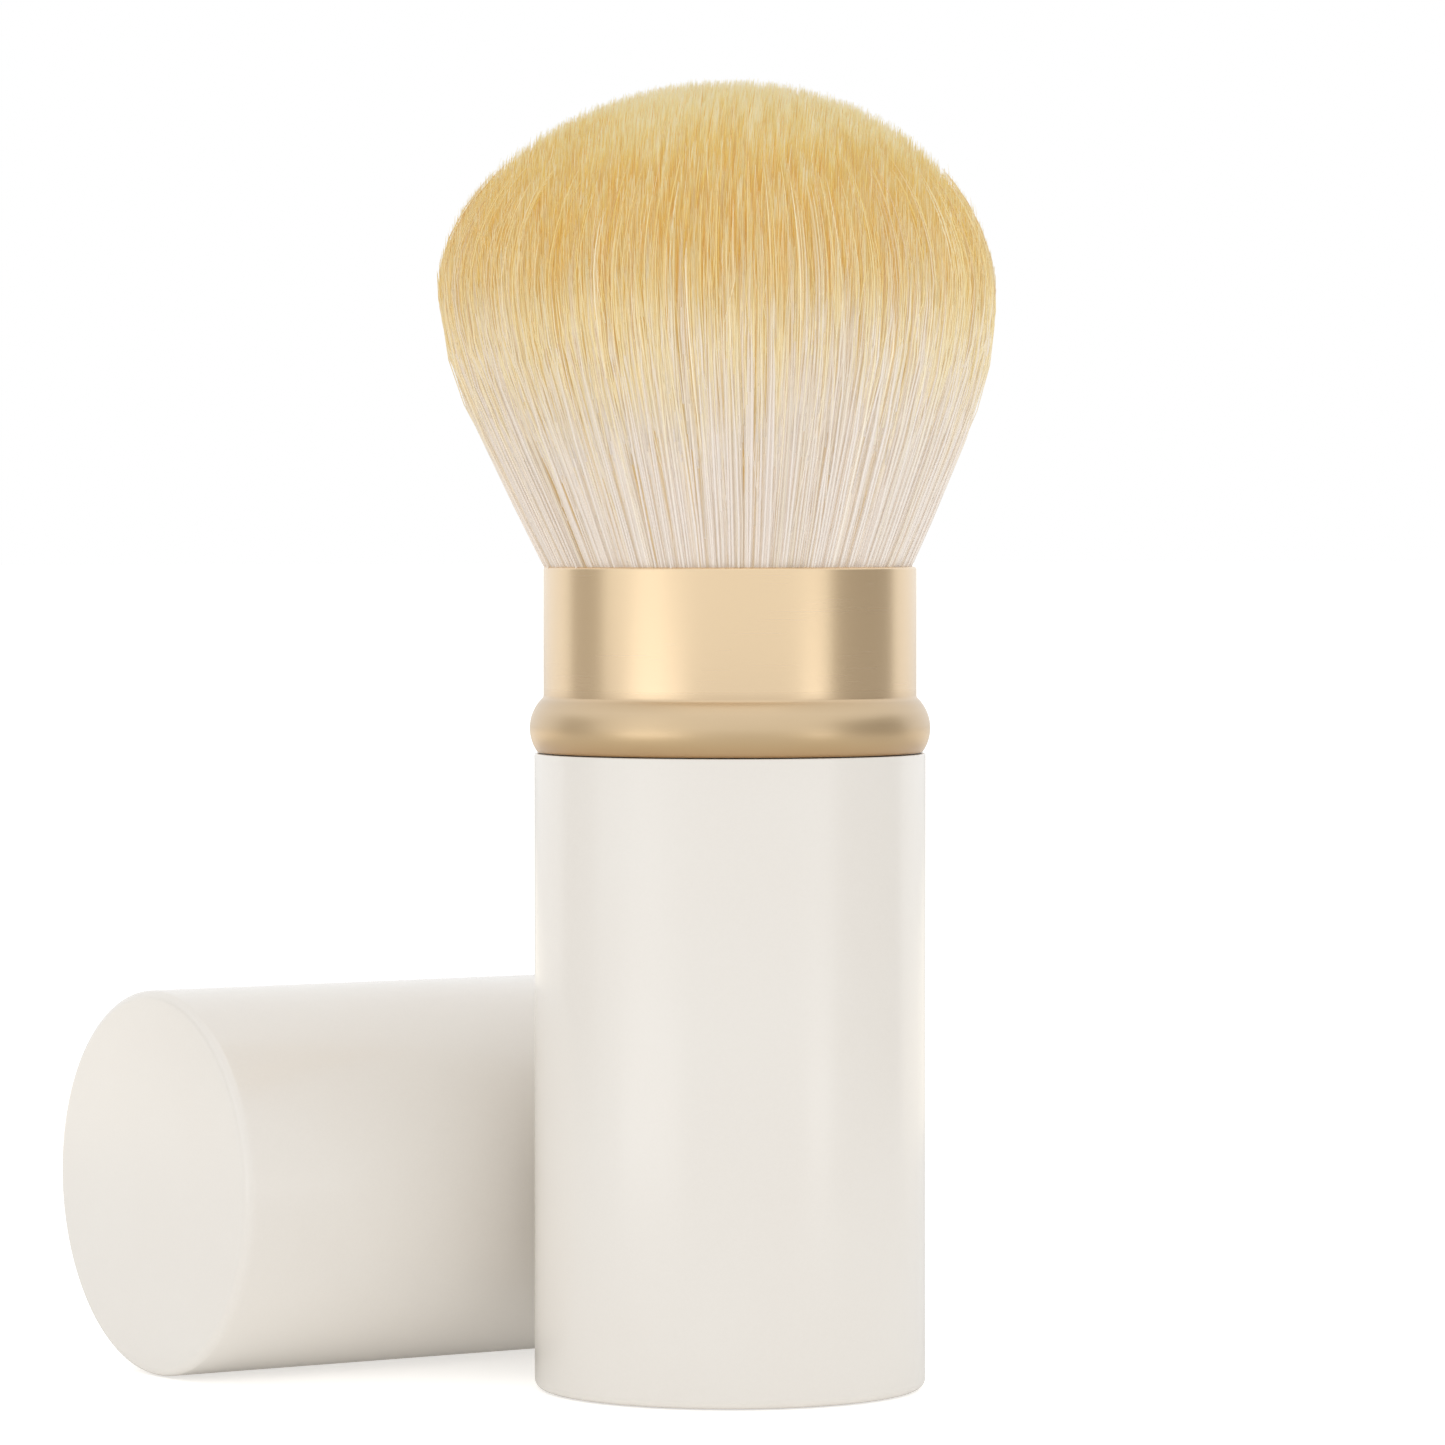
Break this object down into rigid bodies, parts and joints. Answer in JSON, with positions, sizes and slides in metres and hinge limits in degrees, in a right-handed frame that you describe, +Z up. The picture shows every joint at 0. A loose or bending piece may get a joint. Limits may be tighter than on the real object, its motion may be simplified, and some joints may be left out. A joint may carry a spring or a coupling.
{
  "type": "retractable makeup brush",
  "caption": "Round domed powder brush that twists up out of a white enamelled tube with a pale gold collar, its matching cap taken off and lying beside it.",
  "frame": {"origin": "middle of the handle's flat foot, on the surface that the brush stands on", "axes": "+Z up along the brush's axis towards the tuft; +X along the axis of the cap lying beside it, towards the cap's mouth; +Y towards that cap"},
  "size_m": [0.0625, 0.0758, 0.1135],
  "materials": {
    "enamel": "pearl white satin enamel on drawn aluminium",
    "champagne_metal": "pale gold anodised aluminium, satin",
    "aluminium": "bare drawn aluminium",
    "steel": "plain steel",
    "resin": "ivory moulded resin",
    "glue": "cured clear amber resin",
    "silicone": "greased silicone",
    "hair": "soft synthetic hair, golden tips on pale roots"
  },
  "bodies": {
    "handle": {"handle_shell": "enamel", "handle_plug": "resin", "handle_weight": "steel", "spiral_tube": "resin"},
    "collar": {"collar": "champagne_metal", "guide_tube": "resin", "retaining_ring": "steel", "drag_ring": "silicone"},
    "head": {"carrier": "resin", "ferrule": "aluminium", "glue_plug": "glue", "bristles": "hair"},
    "cap": {"cap_shell": "enamel", "cap_liner": "resin"}
  },
  "joints": [
    {"name": "twist", "type": "hinge", "parent": "handle", "child": "collar", "pos_m": [0, 0, 0.0555], "axis": [0, 0, 1], "range_deg": [0, 330]},
    {"name": "head_slide", "type": "slide", "parent": "collar", "child": "head", "axis": [0, 0, 1], "range_m": [-0.0422, 0], "deforming": ["bristles"]},
    {"name": "cap_draw", "type": "slide", "parent": "handle", "child": "cap", "axis": [-1, 0, 0], "range_m": [0, 0.06]}
  ],
  "couplings": [
    {"joint": "head_slide", "follows": "twist", "m_per_rad": -0.007327}
  ]
}
